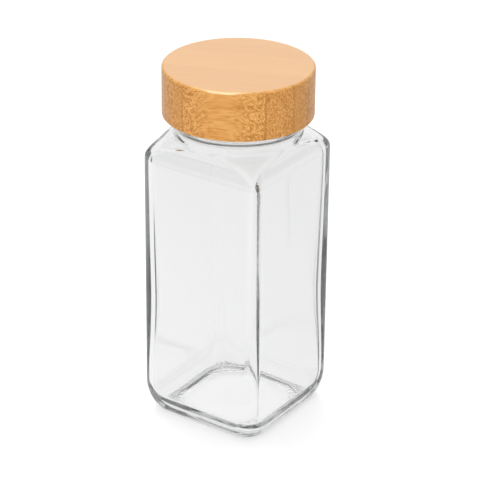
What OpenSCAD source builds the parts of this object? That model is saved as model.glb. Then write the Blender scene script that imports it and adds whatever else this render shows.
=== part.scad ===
// Square glass spice jar with a round screw cap of laminated bamboo.
// Millimetres, +Z up. The origin is the centre of the base, on the surface that the jar stands on.

/* [Body] */
// Width of the square body across its flat sides
body_w = 44; // [43:0.5:52]
// Radius of the upright corners
body_corner_r = 3.7; // [2.5:0.1:6]
// Height of the upright sides, from the base to where the shoulder starts
side_h = 90.2; // [60:0.2:130]
// Rise of the shoulder at the middle of a side
shoulder_h = 5.2; // [4.5:0.5:7]
// Rise of the shoulder over a corner
shoulder_corner_h = 6.6; // [6.4:0.1:9]
// Radius where a corner turns into the shoulder
shoulder_corner_r = 4.2; // [2.6:0.2:5]

/* [Heel] */
// Height of the rounded edge under a side
heel_h = 7.7; // [5:0.1:10]
// How far the rounded edge draws in under a side
heel_in = 3.5; // [2:0.1:4.5]
// Height of the rounded edge under a corner
heel_corner_h = 11; // [8:0.5:14]
// How far the rounded edge draws in under a corner
heel_corner_in = 5.6; // [4:0.1:7]
// Width of the flat band that the jar stands on
bearing_w = 2.6; // [2:0.1:4]
// Corner radius of the hollow under the base
hollow_corner_r = 6; // [4:0.5:9]
// Height of the hollow under the base, at its middle
hollow_rise = 1.6; // [1:0.1:2.5]
// Height of the hollow under the base, at its corners
hollow_edge = 0.4; // [0.2:0.1:0.8]

/* [Cavity] */
// Thickness of the side walls
wall = 2.4; // [1.8:0.1:3]
// Radius of the upright corners inside
cavity_corner_r = 5; // [4:0.5:8]
// Radius where an inner corner turns into the shoulder
cavity_shoulder_r = 3; // [2:0.5:4]
// Thickness of the base at its edge
floor_t = 5; // [4:0.5:8]
// Height of the rounded edge of the floor, along a side
floor_edge_h = 5.5; // [4:0.5:8]
// How far the floor draws in along a side
floor_edge_in = 4.5; // [3:0.5:5.5]
// Height of the rounded edge of the floor, in a corner
floor_corner_h = 8.5; // [7:0.5:11]
// How far the floor draws in, in a corner
floor_corner_in = 6.5; // [4:0.5:7]
// Rise of the floor at its middle
floor_rise = 1.1; // [0.5:0.1:2]
// Radius of the risen middle of the floor
floor_rise_r = 12; // [8:0.5:13]

/* [Neck] */
// Diameter of the round neck over the shoulder
neck_d = 41; // [39:0.5:42]
// Height of the round neck, from the top of the shoulder at a corner to the ring
neck_h = 4.8; // [3.5:0.1:8]
// Diameter of the ring under the cap
ring_d = 42.8; // [42.2:0.1:46]
// Height of the ring
ring_h = 1.6; // [1.2:0.1:3]
// Radius of the ring's edges
ring_edge_r = 0.5; // [0.2:0.1:0.6]
// Height of the threaded mouth, from the ring to the rim
mouth_h = 10.5; // [9.8:0.1:13]
// Diameter of the bore through the mouth
bore_d = 32.4; // [30:0.1:33]
// Length of the taper between the bore and the wider neck
bore_taper_h = 2.7; // [1.5:0.1:3.5]

/* [Screw thread] */
// Outer diameter of the thread on the mouth
thread_d = 37.5; // [37:0.1:38]
// Height of the thread over the mouth's wall
thread_depth = 1.05; // [0.8:0.05:1.2]
// Rise of the thread in one turn
thread_pitch = 4.23; // [4:0.01:4.6]
// Turns of thread on the mouth
mouth_turns = 1.25; // [1:0.05:1.4]
// Turns of thread inside the cap liner
liner_turns = 1; // [0.7:0.05:1.1]
// Width of a thread at its root
thread_root_w = 2; // [1.8:0.1:2.2]
// Width of a thread at its crest
thread_crest_w = 0.9; // [0.6:0.1:1.1]
// Clearance between the threads and the walls across from them
thread_gap = 0.3; // [0.2:0.05:0.4]
// Clearance between the flanks that meet when the cap is closed
flank_gap = 0.3; // [0.2:0.05:0.4]
// Height of the middle of the thread's lower end over the ring
thread_start_h = 1.7; // [1.4:0.1:2.2]

/* [Cap] */
// Diameter of the bamboo cap
cap_d = 47.7; // [45:0.1:54]
// Thickness of the cap's top
cap_top_t = 3; // [2:0.1:6]
// Width of the bevel round the top
cap_bevel = 0.6; // [0.3:0.1:1.5]
// Width of the bevel round the lower edge
cap_foot_bevel = 0.3; // [0.1:0.1:0.6]
// Gap between the ring and the closed cap
cap_gap = 0.6; // [0.4:0.1:1.5]

/* [Liner, seal and shaker] */
// Wall of the threaded liner in the cap
liner_t = 1.55; // [1.2:0.05:1.8]
// Thickness of the liner's closed end
liner_top_t = 1; // [0.8:0.1:2]
// How far the liner stops short of the cap's lower edge
liner_recess = 0.3; // [0.2:0.1:0.5]
// Thickness of the seal disc
seal_t = 1; // [0.8:0.1:2]
// Clearance round the seal disc
seal_gap = 0.5; // [0.3:0.05:0.6]
// Thickness of the shaker's plate and flange
shaker_t = 1; // [0.8:0.1:1.6]
// How far the shaker's flange stops short of the rim's outer edge
shaker_margin = 0.3; // [0.2:0.1:0.8]
// Length of the shaker's skirt down the bore
skirt_h = 6; // [4:0.5:8]
// Thickness of the shaker's skirt
skirt_t = 1.1; // [0.8:0.1:1.6]
// Diameter of a shaker hole
hole_d = 4.4; // [3:0.1:5]
// Diameter of the circle that the shaker holes lie on
hole_ring_d = 17; // [15:0.5:20]
// Number of shaker holes round the one in the middle
hole_count = 6; // [4:1:8]

/* [Hidden] */
$fn = 96;
// Overshoot of a cut past the surface that it opens
cut = 1;
// Overlap of a thread with the wall that carries it
root_sink = 0.2;
// Steps of a thread in one turn
thread_steps = 24;
// Part of a turn over which a thread's ends run out, and the share of its height left at the end
thread_run_out = 0.08;
thread_end = 0.1;
// Space between the liner's lower edge and its thread
thread_land = 0.1;
// Facets of the large shallow domes
dome_fn = 180;
// How far the corner outlines clear the upright corners, so that they cut them and never just touch
corner_slack = 0.1;

// The diagonal reach of a rounded square over its half width
function diagonal(half, r) = half * sqrt(2) - r * (sqrt(2) - 1);
// The radius of an arc that leaves an upright line and draws in by d over a height h
function arc_r(h, d) = (h * h + d * d) / (2 * d);
// The angle at which a line through point p touches an arc of radius r round point c
function touch_angle(c, r, p) = atan2(p[1] - c[1], p[0] - c[0]) - acos(r / norm(p - c));

body_half = body_w / 2;
body_diag = diagonal(body_half, body_corner_r) + corner_slack;
cavity_half = body_half - wall;
cavity_diag = diagonal(cavity_half, cavity_corner_r) + corner_slack;
neck_r = neck_d / 2;
neck_in_r = neck_r - wall;
bore_r = bore_d / 2;
thread_r = thread_d / 2;
mouth_r = thread_r - thread_depth;
shoulder_top = side_h + shoulder_corner_h;
body_top = shoulder_top + cut;
ring_z = shoulder_top + neck_h;
ring_top = ring_z + ring_h;
rim_z = ring_top + mouth_h;

// The shoulder over a corner: an arc, then a slope that ends at the neck
shoulder_c = [body_diag - shoulder_corner_r, side_h];
shoulder_end = [neck_r, shoulder_top];
shoulder_angle = touch_angle(shoulder_c, shoulder_corner_r, shoulder_end);
// The same inside, one wall further in
inner_c = [cavity_diag - cavity_shoulder_r, side_h];
inner_end = [neck_in_r, shoulder_top - wall * tan(shoulder_angle / 2)];

// The closed cap, from its lower edge up through seal and liner
cap_z = ring_top + cap_gap;
seal_z = rim_z + shaker_t;
liner_in_top = seal_z + seal_t;
liner_top = liner_in_top + liner_top_t;
cap_top = liner_top + cap_top_t;
liner_z = cap_z + liner_recess;
liner_in_r = thread_r + thread_gap;
liner_r = liner_in_r + liner_t;
seal_r = liner_in_r - seal_gap;

// The liner's thread lies under the mouth's thread, a flank gap below it
thread_z = ring_top + thread_start_h;
thread_drop = (thread_root_w + thread_crest_w) / 2 + flank_gap;
liner_thread_z = liner_z + thread_root_w / 2 + thread_land;
liner_thread_from = (liner_thread_z - thread_z + thread_drop) / thread_pitch;

// A square with rounded corners
module rounded_square(half, r) {
    square([2 * half, 2 * (half - r)], center = true);
    square([2 * (half - r), 2 * half], center = true);
    for (x = [-1, 1], y = [-1, 1]) translate([x, y] * (half - r)) circle(r);
}

// What lies outside an arc that leaves the upright line x = edge at height z, upward or downward
module outside_arc(edge, z, r, upward) {
    difference() {
        translate([edge - r, upward ? z : z - r - cut]) square([r + cut, r + cut]);
        translate([edge - r, z]) circle(r);
    }
}

// The outline of a side seen from the front: upright, drawn in at the bottom and at the shoulder
module side_outline(half, foot, foot_h, foot_in) {
    difference() {
        translate([-half, foot]) square([2 * half, body_top - foot]);
        for (m = [0, 1]) mirror([m, 0]) {
            outside_arc(half, foot + foot_h, arc_r(foot_h, foot_in), false);
            outside_arc(half, side_h, arc_r(shoulder_h, body_half - neck_r), true);
        }
    }
}

// Half the outline over two corners: drawn in at the bottom, then an arc round point c and a
// slope through point end, which runs on inside the neck
module corner_outline(reach, foot, foot_h, foot_in, c, r, end) {
    t = touch_angle(c, r, end);
    past = end + cut * [-sin(t), cos(t)];
    difference() {
        translate([0, foot]) square([reach, c[1] - foot]);
        outside_arc(reach, foot + foot_h, arc_r(foot_h, foot_in), false);
    }
    polygon([[0, c[1] - cut], [c[0], c[1] - cut], c + r * [cos(t), sin(t)], past, [0, past[1]]]);
    translate(c) circle(r);
}

// A body with a rounded square plan, bounded by its side and corner outlines
module square_body(half, r) {
    intersection() {
        linear_extrude(body_top) rounded_square(half, r);
        for_sides(half) children(0);
        rotate_extrude() children(1);
    }
}

// An outline run across the body in both directions, and what the two have in common
module for_sides(half) {
    intersection_for (turn = [0, 90])
        rotate([0, 0, turn]) translate([0, half + cut, 0]) rotate([90, 0, 0])
            linear_extrude(2 * (half + cut)) children(0);
}

module jar_outside() {
    square_body(body_half, body_corner_r) {
        side_outline(body_half, 0, heel_h, heel_in);
        corner_outline(body_diag, 0, heel_corner_h, heel_corner_in,
                       shoulder_c, shoulder_corner_r, shoulder_end);
    }
    translate([0, 0, side_h]) cylinder(r = neck_r, h = ring_top - ring_edge_r - side_h);
    ring();
    translate([0, 0, ring_z]) cylinder(r = mouth_r, h = rim_z - ring_z);
    thread(mouth_r - root_sink, thread_root_w, thread_r, thread_crest_w,
           thread_z, 0, mouth_turns, 1);
}

module ring() {
    translate([0, 0, ring_z]) rotate_extrude() {
        square([ring_d / 2 - ring_edge_r, ring_h]);
        translate([0, ring_edge_r]) square([ring_d / 2, ring_h - 2 * ring_edge_r]);
        for (z = [ring_edge_r, ring_h - ring_edge_r])
            translate([ring_d / 2 - ring_edge_r, z]) circle(ring_edge_r);
    }
}

module jar_inside() {
    difference() {
        square_body(cavity_half, cavity_corner_r) {
            side_outline(cavity_half, floor_t, floor_edge_h, floor_edge_in);
            corner_outline(cavity_diag, floor_t, floor_corner_h, floor_corner_in,
                           inner_c, cavity_shoulder_r, inner_end);
        }
        risen_floor();
    }
    translate([0, 0, side_h]) cylinder(r = neck_in_r, h = ring_z - bore_taper_h - side_h);
    translate([0, 0, ring_z - bore_taper_h]) cylinder(r1 = neck_in_r, r2 = bore_r, h = bore_taper_h);
    translate([0, 0, ring_z]) cylinder(r = bore_r, h = rim_z - ring_z + cut);
}

// The floor's middle rises as a shallow dome
module risen_floor() {
    r = arc_r(floor_rise_r, floor_rise);
    translate([0, 0, floor_t + floor_rise - r]) sphere(r, $fn = dome_fn);
}

// The hollow under the base leaves a flat band to stand on
module base_hollow() {
    half = body_half - heel_in - bearing_w;
    reach = diagonal(half, hollow_corner_r);
    r = arc_r(reach, hollow_rise - hollow_edge);
    intersection() {
        translate([0, 0, -cut]) linear_extrude(hollow_rise + 2 * cut)
            rounded_square(half, hollow_corner_r);
        translate([0, 0, hollow_rise - r]) sphere(r, $fn = dome_fn);
    }
}

// A ridge wound round the axis, between an inner and an outer radius, with tapered ends.
// Angles and lengths are in turns; side is 1 for an outward ridge and -1 for an inward one.
module thread(inner, inner_w, outer, outer_w, z, from, turns, side) {
    steps = round(turns * thread_steps);
    function fade(s) = min(1, max(thread_end, min(s, turns - s) / thread_run_out));
    function section(f) = side > 0
        ? let (r = inner + (outer - inner) * f)
            [[inner, -inner_w], [r, -outer_w], [r, outer_w], [inner, inner_w]]
        : let (r = outer - (outer - inner) * f)
            [[r, -inner_w], [outer, -outer_w], [outer, outer_w], [r, inner_w]];
    points = [
        for (i = [0 : steps])
            let (s = turns * i / steps, a = 360 * (from + s), rise = z + thread_pitch * (from + s))
            for (p = section(fade(s))) [p[0] * cos(a), p[0] * sin(a), rise + p[1] / 2]
    ];
    sides = [
        for (i = [0 : steps - 1], j = [0 : 3])
            let (a = 4 * i + j, b = 4 * i + (j + 1) % 4)
            for (f = [[a, b, b + 4], [a, b + 4, a + 4]]) f
    ];
    last = 4 * steps;
    polyhedron(points, concat(sides, [[3, 2, 1, 0], [last, last + 1, last + 2, last + 3]]));
}

module jar_body() {
    color([0.86, 0.92, 0.90, 0.45]) difference() {
        jar_outside();
        jar_inside();
        base_hollow();
    }
}

// A perforated plate that rests on the rim, with a skirt pressed into the bore
module shaker_insert() {
    color([0.95, 0.95, 0.93]) difference() {
        union() {
            translate([0, 0, rim_z]) cylinder(r = mouth_r - shaker_margin, h = shaker_t);
            translate([0, 0, rim_z - skirt_h]) cylinder(r = bore_r, h = skirt_h);
        }
        translate([0, 0, rim_z - skirt_h - cut]) cylinder(r = bore_r - skirt_t, h = skirt_h + cut);
        translate([0, 0, rim_z - cut]) shaker_hole();
        for (i = [1 : hole_count])
            rotate([0, 0, 360 * i / hole_count]) translate([hole_ring_d / 2, 0, rim_z - cut])
                shaker_hole();
    }
}

module shaker_hole() {
    cylinder(d = hole_d, h = shaker_t + 2 * cut);
}

module seal_disc() {
    color([0.93, 0.93, 0.90]) translate([0, 0, seal_z]) cylinder(r = seal_r, h = seal_t);
}

// A plastic cup with an inner thread, glued into the bamboo
module threaded_liner() {
    color([0.94, 0.94, 0.92]) {
        difference() {
            translate([0, 0, liner_z]) cylinder(r = liner_r, h = liner_top - liner_z);
            translate([0, 0, liner_z - cut])
                cylinder(r = liner_in_r, h = liner_in_top - liner_z + cut);
        }
        thread(mouth_r + thread_gap, thread_crest_w, liner_in_r + root_sink, thread_root_w,
               thread_z - thread_drop, liner_thread_from, liner_turns, -1);
    }
}

module bamboo_cap() {
    r = cap_d / 2;
    color([0.85, 0.64, 0.40]) rotate_extrude() polygon([
        [liner_r, cap_z], [r - cap_foot_bevel, cap_z], [r, cap_z + cap_foot_bevel],
        [r, cap_top - cap_bevel], [r - cap_bevel, cap_top], [0, cap_top],
        [0, liner_top], [liner_r, liner_top]
    ]);
}

jar_body();
shaker_insert();
seal_disc();
threaded_liner();
bamboo_cap();
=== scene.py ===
"""A square glass spice jar with a screw cap of laminated bamboo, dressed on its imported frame."""

import math

import bmesh
import bpy
from mathutils import Matrix, Vector

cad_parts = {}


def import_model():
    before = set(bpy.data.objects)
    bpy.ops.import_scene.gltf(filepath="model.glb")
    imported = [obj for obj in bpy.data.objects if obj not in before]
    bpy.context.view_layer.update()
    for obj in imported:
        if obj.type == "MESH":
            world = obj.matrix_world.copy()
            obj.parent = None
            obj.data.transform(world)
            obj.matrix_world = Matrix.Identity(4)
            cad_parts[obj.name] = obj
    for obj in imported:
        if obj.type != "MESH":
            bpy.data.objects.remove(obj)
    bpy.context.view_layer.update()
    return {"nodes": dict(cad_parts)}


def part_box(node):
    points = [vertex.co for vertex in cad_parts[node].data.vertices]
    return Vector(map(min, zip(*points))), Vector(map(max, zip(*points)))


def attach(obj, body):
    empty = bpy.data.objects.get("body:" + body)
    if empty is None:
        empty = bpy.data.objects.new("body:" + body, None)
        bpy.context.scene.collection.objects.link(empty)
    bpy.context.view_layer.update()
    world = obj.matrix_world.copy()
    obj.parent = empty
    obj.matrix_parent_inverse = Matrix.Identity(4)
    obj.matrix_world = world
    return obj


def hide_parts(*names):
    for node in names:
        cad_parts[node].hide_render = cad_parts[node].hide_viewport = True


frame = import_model()

# Lengths below are in millimetres, unless a comment says metres
MM = 0.001
ROOT2 = math.sqrt(2)
QUARTER = math.pi / 2
ROUNDING = 1e-9
WHITE = (1, 1, 1, 1)

# The camera: where it stands round the jar, what it looks at and how it frames it. Its clip
# distances are in metres
CAMERA_AZIMUTH = 34.67
CAMERA_ELEVATION = 26.135
CAMERA_ROLL = 0.52
CAMERA_DISTANCE = 699.1
CAMERA_LENS = 163.39
CAMERA_SENSOR = 36
CAMERA_SHIFT = (0.00625, 0.01739)
CAMERA_CLIP = (0.01, 20)
AIM_HEIGHT = 56.5

# Main heights and widths, from the frame
JAR_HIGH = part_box("jar_body")[1]
LINER_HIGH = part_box("threaded_liner")[1]
CAP_LOW, CAP_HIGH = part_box("bamboo_cap")
BODY_HALF = JAR_HIGH[0] / MM
RIM_Z = JAR_HIGH[2] / MM
CAP_FOOT = CAP_LOW[2] / MM
CAP_TOP = CAP_HIGH[2] / MM
CAP_RADIUS = CAP_HIGH[0] / MM
LINER_TOP = LINER_HIGH[2] / MM
LINER_R = LINER_HIGH[0] / MM

# The glass outside: heel, upright sides, shoulder
CORNER_R = 3.7
HEEL_H, HEEL_IN = 7.7, 3.5
HEEL_CORNER_H, HEEL_CORNER_IN = 11.0, 5.6
SIDE_TOP = 90.2
SHOULDER_TOP = 98.8
SHOULDER_BULGE = 1.35
FACE_TOP = 95.8

# The neck, the ring under the cap and the threaded mouth
NECK_R = 20.5
NECK_IN_R = 18.1
MOUTH_R = 17.7
BORE_R = 16.2
MOUTH_H = 10.5
RIM_ROUND = 0.5
RING_R = 21.4
RING_TOP = RIM_Z - MOUTH_H
RING_Z = RING_TOP - 1.6
TAPER_H = 2.7
THREAD_R = 18.75
THREAD_PITCH = 4.23
THREAD_TURNS = 1.25
THREAD_Z = RING_TOP + 1.7
THREAD_ROOT, THREAD_CREST = 2.0, 0.9
THREAD_FADE = 0.08

# The cavity. Its walls bow outward a little and its corners are blown unevenly: their radii at the
# foot, in the middle and at the top, counted from the corner over +X and +Y
CAVITY_HALF = 20.4
CAVITY_BOW = 0.4
CAVITY_CORNERS = ((4.0, 9.0, 5.4), (2.6, 3.0, 2.6), (2.8, 6.4, 3.6), (2.4, 1.6, 1.0))
CAVITY_SIDE_TOP = 88.6
CAVITY_FACE_TOP = 94.6
CAVITY_TOP = SHOULDER_TOP - 1.8
BOW_FROM, BOW_MIDDLE, BOW_TO = 12.0, 45.0, 90.0
FLOOR_Z = 3.4
FLOOR_EDGE_H, FLOOR_EDGE_IN = 4.8, 2.6
FLOOR_CORNER_H, FLOOR_CORNER_IN = 8.0, 5.2
FLOOR_RISE, FLOOR_RISE_R = 1.1, 13.0
FLOOR_CENTRE = 0.06

# The underside: a shallow hollow inside a stippled band that the jar stands on
HOLLOW_HALF = 15.6
HOLLOW_CORNER_R = 9.0
HOLLOW_RISE, HOLLOW_EDGE = 1.6, 0.4
BAND_IN, BAND_OUT = 16.3, 18.1
STIPPLE_H = 0.25
STIPPLE_PITCH = 1.45
STIPPLE_ROWS = 3
STIPPLE_DOT, STIPPLE_FALL = 1.25, 2.5
LAST_ROW = 0.999

# Points round an eighth of a ring: on the flat of a side, and on its share of a corner
FLAT_STEPS = 36
CORNER_STEPS = 24
CORNER_FROM = math.radians(36)
CORNER_CROWDING = 1.4

# Rings of points on each stretch of the glass, from the middle of the underside up the outside,
# over the rim and down the inside to the middle of the floor
HOLLOW_RINGS, BAND_RINGS = 8, 15
HEEL_RINGS, SIDE_RINGS, SHOULDER_RINGS, NECK_RINGS = 36, 24, 36, 12
LEDGE_RINGS, EDGE_RINGS, TOP_RINGS = 3, 6, 8
THREAD_RINGS, RIM_RINGS = 44, 10
BORE_RINGS, TAPER_RINGS, NECK_IN_RINGS = 12, 8, 8
CAVITY_TOP_RINGS, CAVITY_SIDE_RINGS, CAVITY_FOOT_RINGS, FLOOR_RINGS = 28, 40, 30, 16

# Where the moulded profile is softened: rings before and after the place, and passes
SOFT_HEEL = (2, 12, 3)
SOFT_NECK = (6, 0, 5)
SOFT_RIM = (30, 8, 2)

# The bamboo cap. EDGE_HOLD is how far the points beside a sharp edge stand from it
CAP_EDGE_ROUND = 0.8
CAP_FOOT_ROUND = 0.3
EDGE_HOLD = 1
FOOT_HOLD = 0.5
LATHE_STEPS = 192
ROUND_STEPS = 6

# Its glued strips: the grain runs along the strips, which stand side by side
PLANK_AZIMUTH = 22
STRIP_W = 7.3
STRIP_OFFSET = 5.4
STRIP_TONE_START, STRIP_TONE_STEP = 0.7, 1.75
FIBRE_STRETCH = 0.09
FIBRE_WANDER = 3.0
FIBRE_ACROSS = 2.0
FIBRE_LEAN = -0.6
BAMBOO_PALE = (0.66, 0.32, 0.086, 1)
BAMBOO_WARM = (0.58, 0.26, 0.062, 1)
BAMBOO_DEEP = (0.52, 0.225, 0.046, 1)
BAMBOO_FIBRE = (0.40, 0.145, 0.020, 1)
BAMBOO_LIGHT = (0.78, 0.43, 0.15, 1)
BAMBOO_GLUE = (0.30, 0.10, 0.015, 1)
# The bevel's lighter golden colour, laid on in dots, is partly edge wear and partly a painted highlight
BAMBOO_BEVEL_WEAR_AND_HIGHLIGHT = (0.86, 0.50, 0.17, 1)
# A painted highlight, where the bevel runs along the grain
BAMBOO_PAINTED_HIGHLIGHT = (0.95, 0.72, 0.42, 1)
# A paler top: painted sheen, the reflection of the bright surroundings
BAMBOO_PAINTED_SHEEN = (0.78, 0.47, 0.23, 1)

# Noises in the bamboo: scale per millimetre, detail and roughness
WANDER_NOISE = (0.5, 1.0, 0.5)
STROKE_NOISE = (1.6, 1.0, 0.4)
DOT_NOISE = (3.4, 1.0, 0.5)
BROAD_NOISE = (0.3, 2.0, 0.5)

# Ranges in the bamboo: two values and what they map to. The first four say where on the cap a
# point is, by how squarely its surface cuts the grain and how far it faces up
END_GRAIN = (0.12, 0.40, 0.5, 1.0)
# Where the bevel runs along the grain and takes the painted highlight
HIGHLIGHT_ON_LONG_GRAIN = (0.12, 0.20, 0.8, 0.0)
FACING_TOP = (0.9, 0.99, 0.0, 1.0)
FACING_BEVEL = (0.1, 0.4, 0.0, 1.0)
STRIP_FADE = (0.0, 1.0, 0.88, 0.6)
# The fibre fades on top, where painted sheen washes it out
TOP_SHEEN_FADE = (0.0, 1.0, 1.0, 0.45)
BROAD_DARK = (0.4, 0.65, 0.0, 1.0)
STROKES_LIGHT = (0.50, 0.66, 0.0, 1.0)
STROKES_DARK = (0.47, 0.34, 0.0, 1.0)
DOTS_DARK = (0.46, 0.30, 0.0, 1.0)
GLUE_LINE = (0.0, 0.04, 0.7, 0.0)
# How much of the bevel takes its colour of edge wear and painted highlight
BEVEL_WEAR_AND_HIGHLIGHT_SHARE = (0.40, 0.58, 0.0, 0.6)
# How much the top takes the paler colour of painted sheen
TOP_SHEEN_SHARE = 0.6
BAMBOO_ROUGHNESS = (0.3, 0.7, 0.4, 0.5)
BAMBOO_COAT = (0.0, 1.0, 0.35, 1.0)
BAMBOO_SPECULAR = 0.1
COAT_ROUGHNESS = 0.22
COAT_IOR = 1.5
BAMBOO_BUMP = (0.2, 0.06)

# The clear glass: its faint unevenness, the grit of its standing band, which fades out between two
# heights in metres, and what it takes from light on its way through. Its scales and density are
# per metre, and a bump is a strength and a depth
GLASS_COLOUR = (0.95, 0.953, 0.951, 1)
GLASS_IOR = 1.52
GLASS_NOISE = (60, 2.0, 0.5)
GLASS_BUMP = (0.05, 0.4)
GRIT_HEIGHTS = (0.0003, 0.0008, 1.0, 0.0)
GRIT_SCALE, GRIT_RANDOMNESS = 1100, 0.7
GRIT_BUMP = (1.0, 0.3)
GLASS_DEPTH_COLOUR = (0.455, 0.475, 0.465, 1)
GLASS_DEPTH_DENSITY = 22

# The plastics: node, material, colour, roughness and scale of the mottle
PLASTICS = (
    ("threaded_liner", "liner_plastic", (0.88, 0.88, 0.86, 1), 0.45, 0.4),
    ("seal_disc", "seal_foam", (0.9, 0.9, 0.87, 1), 0.8, 3.0),
    ("shaker_insert", "shaker_plastic", (0.9, 0.9, 0.88, 1), 0.3, 0.3),
)
MOTTLE_DETAIL, MOTTLE_ROUGHNESS = 3.0, 0.5
MOTTLE_SHADE = 0.93
MOTTLE_FROM, MOTTLE_TO = 0.3, 0.7
MOTTLE_GLOSS = 0.06
MOTTLE_BUMP = (0.2, 0.05)

# The surroundings, white to the camera, grey as light, and in the glass a level of grey that
# follows the height (the sine of the elevation), apart from a white backdrop in reflections
SKY_LIGHT = 0.62
SKY_THROUGH_GLASS = ((0.57, 1.0), (0.64, 0.06), (0.84, 0.06), (0.90, 1.0))
SKY_IN_REFLECTIONS = ((0.01, 0.2), (0.30, 0.2), (0.38, 1.0))
BACKDROP_AZIMUTH = 214.67
BACKDROP_EDGE = (0.55, 0.8, 0.0, 1.0)

# The floor, in metres: a disc just under the jar, with a pool of light seen in the glass, and
# dimmer in reflections on one side. The ranges map distances from the middle to levels
FLOOR_REACH, FLOOR_SIDES = 3.0, 64
FLOOR_DROP = 0.00005
FLOOR_GREY, FLOOR_GREY_IN_GLASS = 0.8, 0.06
FLOOR_LIFT = 0.35
POOL_LEVELS = (0.012, 0.026, 1.04, 0.95)
DIM_LEVELS = (0.0, 0.08, 0.0, -0.09)
DIM_AZIMUTH = 145.3

# The softboxes: name, azimuth and elevation in degrees, distance and size in metres, and power.
# They aim at a height in metres
LAMPS = (
    ("key", -126, 68, 0.9, 0.5, 3.0),
    ("fill", 27, 32, 1.0, 0.6, 5.3),
)
LAMP_AIM = 0.06

# Enough bounces for the light that runs inside the glass
GLOSSY_BOUNCES = 64
TRANSMISSION_BOUNCES = 32
ALL_BOUNCES = 80


def ring_angles():
    """The angles of a ring's points, close together at the four corners."""
    eighth = [CORNER_FROM * i / FLAT_STEPS for i in range(FLAT_STEPS)]
    rest = math.pi / 4 - CORNER_FROM
    for i in range(CORNER_STEPS):
        eighth.append(CORNER_FROM + rest * (1 - (1 - i / CORNER_STEPS) ** CORNER_CROWDING))
    quarter = eighth + [QUARTER - a for a in [math.pi / 4] + eighth[:0:-1]]
    return [a + turn * math.pi / 2 for turn in range(4) for a in quarter]


ANGLES = ring_angles()


def diagonal(half, corner_r):
    """The reach of a rounded square over its corner."""
    return half * ROOT2 - corner_r * (ROOT2 - 1)


def reach_at(half, diag, angle):
    """How far a rounded square, known by its half width and its diagonal reach, goes at an angle."""
    corner_r = half - (diag - half) / (ROOT2 - 1)
    a = angle % QUARTER
    a = min(a, QUARTER - a)
    if half * math.tan(a) <= half - corner_r:
        return half / math.cos(a)
    centre = (half - corner_r) * ROOT2
    off = math.pi / 4 - a
    return centre * math.cos(off) + math.sqrt(max(0, corner_r ** 2 - (centre * math.sin(off)) ** 2))


def drawn_in(height, inset, h):
    """How far an arc that draws in by inset over height has drawn in after h."""
    r = (height ** 2 + inset ** 2) / (2 * inset)
    return r - math.sqrt(max(0, r * r - h * h))


def levels(start, end, count):
    """Evenly spaced values after start, up to end."""
    return [start + (end - start) * (i + 1) / count for i in range(count)]


def smooth_step(x):
    """From 0 to 1, level at both ends."""
    x = min(1, max(0, x))
    return x * x * (3 - 2 * x)


def bulge(x):
    """From 0 to 1 as the shoulder draws in: slow at first, so that the corner stays full."""
    return smooth_step(min(1, max(0, x)) ** SHOULDER_BULGE)


BODY_DIAG = diagonal(BODY_HALF, CORNER_R)


def outside(z):
    """Half width and diagonal reach of the glass outside, from the heel to the neck."""
    half, diag = BODY_HALF, BODY_DIAG
    if z < HEEL_H:
        half -= drawn_in(HEEL_H, HEEL_IN, HEEL_H - z)
    if z < HEEL_CORNER_H:
        diag -= drawn_in(HEEL_CORNER_H, HEEL_CORNER_IN, HEEL_CORNER_H - z)
    half += (NECK_R - BODY_HALF) * smooth_step((z - SIDE_TOP) / (FACE_TOP - SIDE_TOP))
    diag += (NECK_R - BODY_DIAG) * bulge((z - SIDE_TOP) / (SHOULDER_TOP - SIDE_TOP))
    return half, max(half, diag)


def cavity_corner_r(radii, z):
    """The radius of an upright corner of the cavity at a height."""
    foot_r, middle_r, top_r = radii
    corner_r = foot_r + (middle_r - foot_r) * smooth_step((z - BOW_FROM) / (BOW_MIDDLE - BOW_FROM))
    return corner_r + (top_r - middle_r) * smooth_step((z - BOW_MIDDLE) / (BOW_TO - BOW_MIDDLE))


def inside(z):
    """Half width and diagonal reach at each corner of the cavity, from its floor to the neck."""
    bow = math.sin(math.pi * smooth_step((z - BOW_FROM) / (BOW_TO - BOW_FROM)))
    wall = CAVITY_HALF + CAVITY_BOW * bow
    half = wall
    if z < FLOOR_Z + FLOOR_EDGE_H:
        half -= drawn_in(FLOOR_EDGE_H, FLOOR_EDGE_IN, FLOOR_Z + FLOOR_EDGE_H - z)
    face = (z - CAVITY_SIDE_TOP) / (CAVITY_FACE_TOP - CAVITY_SIDE_TOP)
    half += (NECK_IN_R - half) * smooth_step(face)
    corner = (z - CAVITY_SIDE_TOP) / (CAVITY_TOP - CAVITY_SIDE_TOP)
    reaches = []
    for radii in CAVITY_CORNERS:
        diag = diagonal(wall, cavity_corner_r(radii, z))
        if z < FLOOR_Z + FLOOR_CORNER_H:
            diag -= drawn_in(FLOOR_CORNER_H, FLOOR_CORNER_IN, FLOOR_Z + FLOOR_CORNER_H - z)
        diag += (NECK_IN_R - diag) * bulge(corner)
        reaches.append(max(half, diag))
    return half, reaches


def hollow_z(r):
    """The underside's hollow, a shallow dome."""
    edge = diagonal(HOLLOW_HALF, HOLLOW_CORNER_R)
    return HOLLOW_RISE - (HOLLOW_RISE - HOLLOW_EDGE) * (r / edge) ** 2


def floor_z(r):
    """The floor of the cavity, risen in the middle."""
    return FLOOR_Z + FLOOR_RISE * max(0, 1 - (r / FLOOR_RISE_R) ** 2) ** 2


def thread_rise(angle, z):
    """How far the thread stands out of the mouth's wall."""
    best = 0
    for lap in (0, 1):
        turn = angle / (2 * math.pi) + lap
        if turn > THREAD_TURNS:
            continue
        off = abs(z - THREAD_Z - THREAD_PITCH * turn)
        flank = (THREAD_ROOT / 2 - off) / ((THREAD_ROOT - THREAD_CREST) / 2)
        fade = min(1, min(turn, THREAD_TURNS - turn) / THREAD_FADE)
        best = max(best, smooth_step(flank) * smooth_step(fade))
    return best * (THREAD_R - MOUTH_R)


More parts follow.
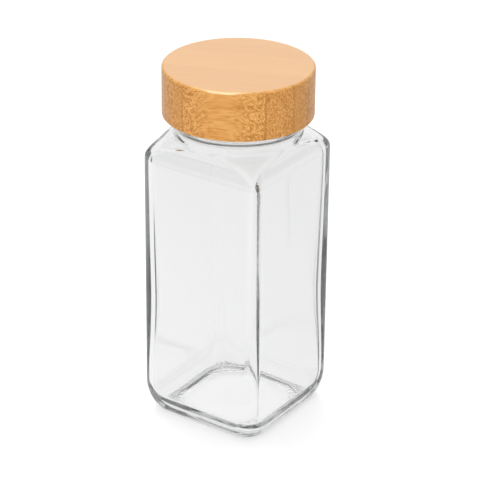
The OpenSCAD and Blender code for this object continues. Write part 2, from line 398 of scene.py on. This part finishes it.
def section_ring(half, diag, height):
    """A ring of points with a rounded square plan. The diagonal reach is one number, or one for each
    corner, and the height is a number or follows the radius."""
    reaches = diag if isinstance(diag, list) else [diag] * 4
    points = []
    for a in ANGLES:
        r = reach_at(half, reaches[int(a / QUARTER + ROUNDING)], a)
        z = height(r) if callable(height) else height
        points.append((r * math.cos(a), r * math.sin(a), z))
    return points


def round_ring(r, z):
    return section_ring(r, r, z)


def thread_ring(z):
    """A ring of the mouth's wall with its thread."""
    points = []
    for a in ANGLES:
        r = MOUTH_R + thread_rise(a, z)
        points.append((r * math.cos(a), r * math.sin(a), z))
    return points


def band_share(half):
    """How far across the standing band a ring lies, in rows of stipple dots."""
    return (half - BAND_IN) / (BAND_OUT - BAND_IN) * STIPPLE_ROWS


def stipple(half, x, y, row):
    """The drop of a stipple dot at a point of the standing band: dots in staggered rows."""
    along = y if abs(x) > abs(y) else x
    phase = (along / STIPPLE_PITCH + row * 0.5) % 1 - 0.5
    across = band_share(half) % 1 - 0.5
    return STIPPLE_H * smooth_step(STIPPLE_DOT - STIPPLE_FALL * math.hypot(phase, across))


def band_ring(half):
    """A ring of the standing band, flat but for its stipple dots. The outermost is in the last row."""
    diag = diagonal(half, HOLLOW_CORNER_R)
    row = int(band_share(half) * LAST_ROW)
    return [(x, y, STIPPLE_H - stipple(half, x, y, row))
            for x, y, z in section_ring(half, diag, STIPPLE_H)]


def underside_rings():
    edge = diagonal(HOLLOW_HALF, HOLLOW_CORNER_R)
    rings = [section_ring(HOLLOW_HALF * k, edge * k, hollow_z) for k in levels(0, 1, HOLLOW_RINGS)]
    return rings + [band_ring(half) for half in levels(BAND_IN, BAND_OUT, BAND_RINGS)]


def outer_rings():
    """From the standing band up the heel, sides and shoulder, past the neck's ring to the rim."""
    heights = levels(STIPPLE_H, HEEL_CORNER_H, HEEL_RINGS)
    heights += levels(HEEL_CORNER_H, SIDE_TOP, SIDE_RINGS)
    heights += levels(SIDE_TOP, SHOULDER_TOP, SHOULDER_RINGS)
    rings = [section_ring(*outside(z), z) for z in heights]
    rings += [round_ring(NECK_R, z) for z in levels(SHOULDER_TOP, RING_Z, NECK_RINGS)]
    rings += [round_ring(r, RING_Z) for r in levels(NECK_R, RING_R, LEDGE_RINGS)]
    rings += [round_ring(RING_R, z) for z in levels(RING_Z, RING_TOP, EDGE_RINGS)]
    rings += [round_ring(r, RING_TOP) for r in levels(RING_R, MOUTH_R, TOP_RINGS)]
    return rings + [thread_ring(z) for z in levels(RING_TOP, RIM_Z - RIM_ROUND, THREAD_RINGS)]


def rim_rings():
    """The rim, rounded from the wall outside to the bore."""
    middle = (MOUTH_R + BORE_R) / 2
    r = (MOUTH_R - BORE_R) / 2
    rings = []
    for a in levels(0, math.pi, RIM_RINGS):
        rings.append(round_ring(middle + r * math.cos(a), RIM_Z - RIM_ROUND + RIM_ROUND * math.sin(a)))
    return rings


def inner_rings():
    """From the rim down the bore, neck and cavity to the middle of the floor."""
    rings = [round_ring(BORE_R, z) for z in levels(RIM_Z - RIM_ROUND, RING_Z, BORE_RINGS)]
    for k in levels(0, 1, TAPER_RINGS):
        rings.append(round_ring(BORE_R + (NECK_IN_R - BORE_R) * smooth_step(k), RING_Z - TAPER_H * k))
    rings += [round_ring(NECK_IN_R, z) for z in levels(RING_Z - TAPER_H, CAVITY_TOP, NECK_IN_RINGS)]
    foot = FLOOR_Z + FLOOR_CORNER_H
    heights = levels(CAVITY_TOP, CAVITY_SIDE_TOP, CAVITY_TOP_RINGS)
    heights += levels(CAVITY_SIDE_TOP, foot, CAVITY_SIDE_RINGS)
    heights += [foot - FLOOR_CORNER_H * math.sin(k) for k in levels(0, QUARTER, CAVITY_FOOT_RINGS)]
    rings += [section_ring(*inside(z), z) for z in heights]
    half, reaches = inside(FLOOR_Z)
    for k in levels(1, FLOOR_CENTRE, FLOOR_RINGS):
        rings.append(section_ring(half * k, [reach * k for reach in reaches], floor_z))
    return rings


def soften(rings, first, last, passes):
    """Rounds the profile from one ring to another, as moulded glass has no sharp edges."""
    for _ in range(passes):
        before = [list(ring) for ring in rings[first - 1:last + 1]]
        for i in range(1, len(before) - 1):
            low, mid, high = before[i - 1], before[i], before[i + 1]
            rings[first - 1 + i] = [
                tuple(0.25 * a + 0.5 * b + 0.25 * c for a, b, c in zip(p, q, s))
                for p, q, s in zip(low, mid, high)
            ]


def soften_glass(rings, heel, mouth_end):
    """Rounds the heel, the neck with its ring, and the rim."""
    before, after, passes = SOFT_HEEL
    soften(rings, heel - before, heel + after, passes)
    before, after, passes = SOFT_NECK
    neck_foot = heel + HEEL_RINGS + SIDE_RINGS + SHOULDER_RINGS
    ring_end = neck_foot + NECK_RINGS + LEDGE_RINGS + EDGE_RINGS + TOP_RINGS
    soften(rings, neck_foot - before, ring_end + after, passes)
    before, after, passes = SOFT_RIM
    soften(rings, mouth_end - before, mouth_end + after, passes)


def mesh_object(name, mesh):
    """A smooth shaded object of a mesh, with its faces turned outward."""
    for face in mesh.faces:
        face.smooth = True
    bmesh.ops.recalc_face_normals(mesh, faces=mesh.faces)
    data = bpy.data.meshes.new(name)
    mesh.to_mesh(data)
    mesh.free()
    obj = bpy.data.objects.new(name, data)
    bpy.context.scene.collection.objects.link(obj)
    return obj


def closed_loft(name, rings, bottom, top):
    """A closed mesh from a bottom point through rings of points to a top point."""
    mesh = bmesh.new()
    rows = [[mesh.verts.new(Vector(p) * MM) for p in ring] for ring in rings]
    count = len(rows[0])
    for low, high in zip(rows, rows[1:]):
        for i in range(count):
            j = (i + 1) % count
            mesh.faces.new((low[i], low[j], high[j], high[i]))
    first = mesh.verts.new(Vector((0, 0, bottom)) * MM)
    last = mesh.verts.new(Vector((0, 0, top)) * MM)
    for i in range(count):
        j = (i + 1) % count
        mesh.faces.new((first, rows[0][j], rows[0][i]))
        mesh.faces.new((last, rows[-1][i], rows[-1][j]))
    return mesh_object(name, mesh)


def lathe(name, profile):
    """A closed turned solid. The profile runs from a point on the axis to another."""
    turns = [2 * math.pi * i / LATHE_STEPS for i in range(LATHE_STEPS)]
    rings = [[(r * math.cos(a), r * math.sin(a), z) for a in turns] for r, z in profile[1:-1]]
    return closed_loft(name, rings, profile[0][1], profile[-1][1])


def rounded_corner(r, z, radius, start, end):
    """Points of a rounded corner in a turned profile, between two angles in degrees."""
    turns = [math.radians(start + (end - start) * i / ROUND_STEPS) for i in range(ROUND_STEPS + 1)]
    return [(r + radius * math.cos(a), z + radius * math.sin(a)) for a in turns]


def build_glass():
    """The whole glass as one closed skin, from the underside over the rim to the floor inside."""
    under, outer = underside_rings(), outer_rings()
    rings = under + outer + rim_rings() + inner_rings()
    soften_glass(rings, len(under), len(under) + len(outer))
    glass = closed_loft("glass_jar", rings, hollow_z(0), floor_z(0))
    glass.data.materials.append(glass_material())
    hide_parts("jar_body")
    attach(glass, "jar")


def cap_profile():
    """Half the cap's section, from the roof of its recess round the outside to the top."""
    foot, edge = CAP_FOOT_ROUND, CAP_EDGE_ROUND
    profile = [(0, LINER_TOP), (LINER_R - EDGE_HOLD, LINER_TOP), (LINER_R, LINER_TOP)]
    profile += [(LINER_R, LINER_TOP - EDGE_HOLD), (LINER_R, CAP_FOOT + EDGE_HOLD)]
    profile += [(LINER_R, CAP_FOOT), (LINER_R + FOOT_HOLD, CAP_FOOT)]
    profile += rounded_corner(CAP_RADIUS - foot, CAP_FOOT + foot, foot, -90, 0)
    profile += [(CAP_RADIUS, CAP_FOOT + 2 * foot), (CAP_RADIUS, CAP_TOP - 2 * edge)]
    profile += rounded_corner(CAP_RADIUS - edge, CAP_TOP - edge, edge, 0, 90)
    return profile + [(CAP_RADIUS - 2 * edge, CAP_TOP), (CAP_RADIUS / 2, CAP_TOP), (0, CAP_TOP)]


def build_cap():
    """The bamboo cap, with its edges eased and a recess for the liner."""
    cap = lathe("laminated_cap", cap_profile())
    cap.data.materials.append(bamboo_material())
    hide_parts("bamboo_cap")
    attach(cap, "cap")


def grey(level):
    return (level, level, level, 1)


def direction(azimuth, elevation=0):
    """The direction from the jar to a place round it. Azimuth 0 lies on the side of -Y."""
    a, e = math.radians(azimuth), math.radians(elevation)
    return Vector((math.sin(a) * math.cos(e), -math.cos(a) * math.cos(e), math.sin(e)))


class Graph:
    """A node tree, with short ways to add nodes to it. Each gives the new node's output."""

    def __init__(self, tree):
        self.tree = tree

    def feed(self, socket, value):
        """Sets a socket to a plain value or links an output to it."""
        if isinstance(value, bpy.types.NodeSocket):
            self.tree.links.new(value, socket)
        else:
            socket.default_value = value

    def fill(self, node, inputs):
        """Feeds the inputs of a node, by name or by number."""
        for key, value in inputs.items():
            self.feed(node.inputs[key], value)

    def add(self, kind, output, inputs=None, **settings):
        """Adds a node and gives one of its outputs."""
        node = self.tree.nodes.new("ShaderNode" + kind)
        for name, value in settings.items():
            setattr(node, name, value)
        self.fill(node, inputs or {})
        return node.outputs[output]

    def place(self):
        """The place on the object, in metres."""
        return self.add("TexCoord", "Object")

    def ray(self, kind):
        return self.add("LightPath", f"Is {kind} Ray")

    def in_glass(self):
        """1 for rays that the glass bends or reflects."""
        return self.maths("MAXIMUM", self.ray("Transmission"), self.ray("Glossy"))

    def maths(self, operation, a, b=0.0, c=0.0):
        return self.add("Math", "Value", {0: a, 1: b, 2: c}, operation=operation)

    def times(self, a, b):
        return self.maths("MULTIPLY", a, b)

    def dot(self, vector, toward):
        return self.add("VectorMath", "Value", {0: vector, 1: toward}, operation="DOT_PRODUCT")

    def along(self, toward):
        """The place on the object along a direction, in millimetres."""
        return self.dot(self.place(), [v / MM for v in toward])

    def vector(self, x, y, z):
        return self.add("CombineXYZ", "Vector", {0: x, 1: y, 2: z})

    def upward(self, vector):
        """The upright part of a vector."""
        return self.add("SeparateXYZ", "Z", {0: vector})

    def noise(self, vector, scale, detail, roughness):
        inputs = {"Vector": vector, "Scale": scale, "Detail": detail, "Roughness": roughness}
        return self.add("TexNoise", "Fac", inputs)

    def cells(self, vector, scale, randomness):
        inputs = {"Vector": vector, "Scale": scale, "Randomness": randomness}
        return self.add("TexVoronoi", "Distance", inputs)

    def spread(self, value, low, high, to_low, to_high):
        """Maps a range onto another, clamped."""
        return self.add("MapRange", "Result", {0: value, 1: low, 2: high, 3: to_low, 4: to_high})

    def mix(self, factor, a, b):
        return self.add("Mix", "Result", {"Factor": factor, "A": a, "B": b}, data_type="RGBA")

    def grey_ramp(self, value, stops):
        """White from 0 to 1, apart from stops of grey, each a place and a level."""
        made = self.tree.nodes.new("ShaderNodeValToRGB")
        made.color_ramp.elements[0].color = WHITE
        for at, level in stops:
            made.color_ramp.elements.new(at).color = grey(level)
        made.color_ramp.elements[-1].color = WHITE
        self.feed(made.inputs["Fac"], value)
        return made.outputs["Color"]

    def bump(self, height, strength, depth, **normal):
        """A bumped normal, with the depth in millimetres, over another normal if one is given."""
        inputs = {"Strength": strength, "Distance": depth * MM, "Height": height}
        return self.add("Bump", "Normal", {**inputs, **normal})


def new_material(name):
    """A material, the graph of its nodes and its shader."""
    material = bpy.data.materials.new(name)
    material.use_nodes = True
    return material, Graph(material.node_tree), material.node_tree.nodes["Principled BSDF"]


def fibre_place(g, across, grain, height):
    """The place in the bundles of fibre, drawn out along the grain, wandering and leaning."""
    drawn = g.times(grain, FIBRE_STRETCH)
    wander = g.noise(g.vector(across, height, drawn), *WANDER_NOISE)
    up = g.maths("ADD", height, g.times(wander, FIBRE_WANDER))
    leaned = g.maths("MULTIPLY_ADD", across, FIBRE_ACROSS, g.times(up, FIBRE_LEAN))
    broad = g.noise(g.vector(across, height, drawn), *BROAD_NOISE)
    return g.vector(leaned, up, drawn), broad


def strip_tone(g, strip):
    """A tone for each strip."""
    turned = g.maths("MULTIPLY_ADD", g.maths("FLOOR", strip), STRIP_TONE_STEP, STRIP_TONE_START)
    return g.maths("MULTIPLY_ADD", g.maths("SINE", turned), 0.5, 0.5)


def cap_facing(g, grain_direction):
    """How squarely the surface cuts the grain, and how far it belongs to the top and to the bevel."""
    normal = g.add("NewGeometry", "Normal")
    cut = g.maths("ABSOLUTE", g.dot(normal, grain_direction))
    upward = g.upward(normal)
    top = g.spread(upward, *FACING_TOP)
    return cut, top, g.maths("SUBTRACT", g.spread(upward, *FACING_BEVEL), top)


def pattern_strength(g, strip, cut, top):
    """How strongly the fibre shows: less toward one side of each strip, along the grain, and on top,
    where painted sheen washes it out.
    """
    strength = g.times(g.spread(g.maths("FRACT", strip), *STRIP_FADE), g.spread(cut, *END_GRAIN))
    return g.times(strength, g.spread(top, *TOP_SHEEN_FADE))


def bamboo_colour(g, strip, strength, facing, noises):
    """The strips' tones, with the fibre and the glue lines laid over them, then a lighter bevel of edge
    wear and painted highlight, a painted highlight where the bevel runs along the grain, and a paler top
    of painted sheen.
    """
    cut, top, bevel = facing
    broad, strokes, dots = noises
    glue = g.spread(g.maths("PINGPONG", strip, 0.5), *GLUE_LINE)
    layers = (
        (g.times(g.spread(broad, *BROAD_DARK), strength), BAMBOO_DEEP),
        (g.times(g.spread(strokes, *STROKES_LIGHT), strength), BAMBOO_LIGHT),
        (g.times(g.spread(strokes, *STROKES_DARK), strength), BAMBOO_FIBRE),
        (g.times(g.spread(dots, *DOTS_DARK), strength), BAMBOO_FIBRE),
        (g.times(glue, strength), BAMBOO_GLUE),
        # Edge wear and painted highlight on the bevel
        (g.times(bevel, g.spread(dots, *BEVEL_WEAR_AND_HIGHLIGHT_SHARE)), BAMBOO_BEVEL_WEAR_AND_HIGHLIGHT),
        # Painted highlight where the bevel runs along the grain
        (g.times(bevel, g.spread(cut, *HIGHLIGHT_ON_LONG_GRAIN)), BAMBOO_PAINTED_HIGHLIGHT),
        # Painted sheen: a paler top
        (g.times(top, TOP_SHEEN_SHARE), BAMBOO_PAINTED_SHEEN),
    )
    base = g.mix(strip_tone(g, strip), BAMBOO_PALE, BAMBOO_WARM)
    for share, colour in layers:
        base = g.mix(share, base, colour)
    return base


def bamboo_material():
    """Glued strips of bamboo: fibre bundles, seen as strokes at the ends and streaks along the side."""
    material, g, shader = new_material("bamboo")
    a = math.radians(PLANK_AZIMUTH)
    grain_direction = (math.cos(a), math.sin(a), 0)
    across, grain = g.along((math.sin(a), -math.cos(a), 0)), g.along(grain_direction)
    fibres, broad = fibre_place(g, across, grain, g.along((0, 0, 1)))
    strokes, dots = g.noise(fibres, *STROKE_NOISE), g.noise(fibres, *DOT_NOISE)
    strip = g.maths("DIVIDE", g.maths("SUBTRACT", across, STRIP_OFFSET), STRIP_W)
    cut, top, bevel = cap_facing(g, grain_direction)
    strength = pattern_strength(g, strip, cut, top)
    g.fill(shader, {
        "Base Color": bamboo_colour(g, strip, strength, (cut, top, bevel), (broad, strokes, dots)),
        "Roughness": g.spread(dots, *BAMBOO_ROUGHNESS),
        "Specular IOR Level": BAMBOO_SPECULAR,
        "Coat Weight": g.spread(top, *BAMBOO_COAT),
        "Coat Roughness": COAT_ROUGHNESS,
        "Coat IOR": COAT_IOR,
        "Normal": g.bump(g.times(strokes, strength), *BAMBOO_BUMP),
    })
    return material


def plastic_material(name, colour, roughness, speckle):
    """Moulded plastic with a faint unevenness."""
    material, g, shader = new_material(name)
    place = g.vector(g.along((1, 0, 0)), g.along((0, 1, 0)), g.along((0, 0, 1)))
    mottle = g.noise(place, speckle, MOTTLE_DETAIL, MOTTLE_ROUGHNESS)
    shade = tuple(MOTTLE_SHADE * c for c in colour[:3]) + (1,)
    gloss = (MOTTLE_FROM, MOTTLE_TO, roughness - MOTTLE_GLOSS, roughness + MOTTLE_GLOSS)
    g.fill(shader, {
        "Base Color": g.mix(mottle, colour, shade),
        "Roughness": g.spread(mottle, *gloss),
        "Normal": g.bump(mottle, *MOTTLE_BUMP),
    })
    return material


def glass_material():
    """Clear glass, faintly uneven, with a gritty standing band and a trace of colour in its depth."""
    material, g, shader = new_material("clear_glass")
    place = g.place()
    uneven = g.bump(g.noise(place, *GLASS_NOISE), *GLASS_BUMP)
    band = g.spread(g.upward(place), *GRIT_HEIGHTS)
    grit = g.times(g.cells(place, GRIT_SCALE, GRIT_RANDOMNESS), band)
    g.fill(shader, {
        "Base Color": GLASS_COLOUR,
        "Roughness": 0.0,
        "IOR": GLASS_IOR,
        "Transmission Weight": 1.0,
        "Normal": g.bump(grit, *GRIT_BUMP, Normal=uneven),
    })
    absorbed = {"Color": GLASS_DEPTH_COLOUR, "Density": GLASS_DEPTH_DENSITY}
    depth = g.add("VolumeAbsorption", "Volume", absorbed)
    g.fill(material.node_tree.nodes["Material Output"], {"Volume": depth})
    return material


def dress_node(node, material):
    """Gives a CAD node that stays as it is its finish."""
    obj = frame["nodes"][node]
    obj.data.materials.clear()
    obj.data.materials.append(material)


def world():
    """White to the camera and behind glass, with darker bands higher up that draw the glass's edges."""
    studio = bpy.data.worlds.new("studio")
    bpy.context.scene.world = studio
    studio.use_nodes = True
    g = Graph(studio.node_tree)
    place = g.add("TexCoord", "Generated")
    height = g.upward(place)
    through = g.grey_ramp(height, SKY_THROUGH_GLASS)
    mirrored = g.grey_ramp(height, SKY_IN_REFLECTIONS)
    backdrop = g.spread(g.dot(place, direction(BACKDROP_AZIMUTH)), *BACKDROP_EDGE)
    around = g.mix(g.ray("Glossy"), through, g.mix(backdrop, mirrored, WHITE))
    lit = g.mix(g.in_glass(), grey(SKY_LIGHT), around)
    shown = g.mix(g.ray("Camera"), lit, WHITE)
    g.fill(studio.node_tree.nodes["Background"], {"Color": shown, "Strength": 1.0})


def floor_material():
    """Matt white that keeps the shadow, lifted to white where seen, and bright in the glass."""
    material, g, shader = new_material("white_floor")
    material.node_tree.nodes.remove(shader)
    place = g.place()
    away = g.add("VectorMath", "Value", {0: place}, operation="LENGTH")
    pool = g.spread(away, *POOL_LEVELS)
    dim = g.spread(g.dot(place, direction(DIM_AZIMUTH)), *DIM_LEVELS)
    kept = g.maths("MULTIPLY_ADD", g.ray("Glossy"), dim, 1.0)
    in_glass = g.in_glass()
    level = g.times(in_glass, g.times(pool, kept))
    strength = g.maths("MULTIPLY_ADD", g.ray("Camera"), FLOOR_LIFT, level)
    glow = g.add("Emission", "Emission", {"Color": WHITE, "Strength": strength})
    shade = g.mix(in_glass, grey(FLOOR_GREY), grey(FLOOR_GREY_IN_GLASS))
    matt = g.add("BsdfDiffuse", "BSDF", {"Color": shade})
    both = g.add("AddShader", "Shader", {0: matt, 1: glow})
    g.fill(material.node_tree.nodes["Material Output"], {"Surface": both})
    return material


def studio_floor():
    """A wide white floor just under the jar."""
    mesh = bmesh.new()
    turns = [2 * math.pi * i / FLOOR_SIDES for i in range(FLOOR_SIDES)]
    mesh.faces.new([
        mesh.verts.new((FLOOR_REACH * math.cos(a), FLOOR_REACH * math.sin(a), -FLOOR_DROP)) for a in turns
    ])
    obj = mesh_object("studio_floor", mesh)
    obj.data.materials.append(floor_material())


def lamp(name, azimuth, elevation, distance, size, power):
    """A square softbox round the jar, aimed at its middle, that doesn't show in the glass."""
    data = bpy.data.lights.new(name, "AREA")
    data.shape = "SQUARE"
    data.size = size
    data.energy = power
    obj = bpy.data.objects.new(name, data)
    bpy.context.scene.collection.objects.link(obj)
    away = direction(azimuth, elevation)
    obj.location = away * distance + Vector((0, 0, LAMP_AIM))
    obj.rotation_euler = away.to_track_quat("Z", "Y").to_euler()
    obj.visible_glossy = False
    obj.visible_transmission = False


def camera():
    """The photograph's view."""
    data = bpy.data.cameras.new("camera")
    data.lens = CAMERA_LENS
    data.sensor_width = CAMERA_SENSOR
    data.shift_x, data.shift_y = CAMERA_SHIFT
    data.clip_start, data.clip_end = CAMERA_CLIP
    obj = bpy.data.objects.new("camera", data)
    bpy.context.scene.collection.objects.link(obj)
    a, roll = math.radians(CAMERA_AZIMUTH), math.radians(CAMERA_ROLL)
    back = direction(CAMERA_AZIMUTH, CAMERA_ELEVATION)
    right = Vector((math.cos(a), math.sin(a), 0))
    up = back.cross(right)
    x_axis = right * math.cos(roll) + up * math.sin(roll)
    y_axis = up * math.cos(roll) - right * math.sin(roll)
    place = Vector((0, 0, AIM_HEIGHT * MM)) + back * CAMERA_DISTANCE * MM
    obj.matrix_world = Matrix.Translation(place) @ Matrix((x_axis, y_axis, back)).transposed().to_4x4()
    bpy.context.scene.camera = obj


def render_settings():
    """Plain colours, and light that isn't cut off inside the glass."""
    scene = bpy.context.scene
    scene.view_settings.view_transform = "Standard"
    scene.cycles.glossy_bounces = GLOSSY_BOUNCES
    scene.cycles.transmission_bounces = TRANSMISSION_BOUNCES
    scene.cycles.max_bounces = ALL_BOUNCES


camera()
world()
studio_floor()
for settings in LAMPS:
    lamp(*settings)
build_glass()
build_cap()
for node, *finish in PLASTICS:
    dress_node(node, plastic_material(*finish))
render_settings()
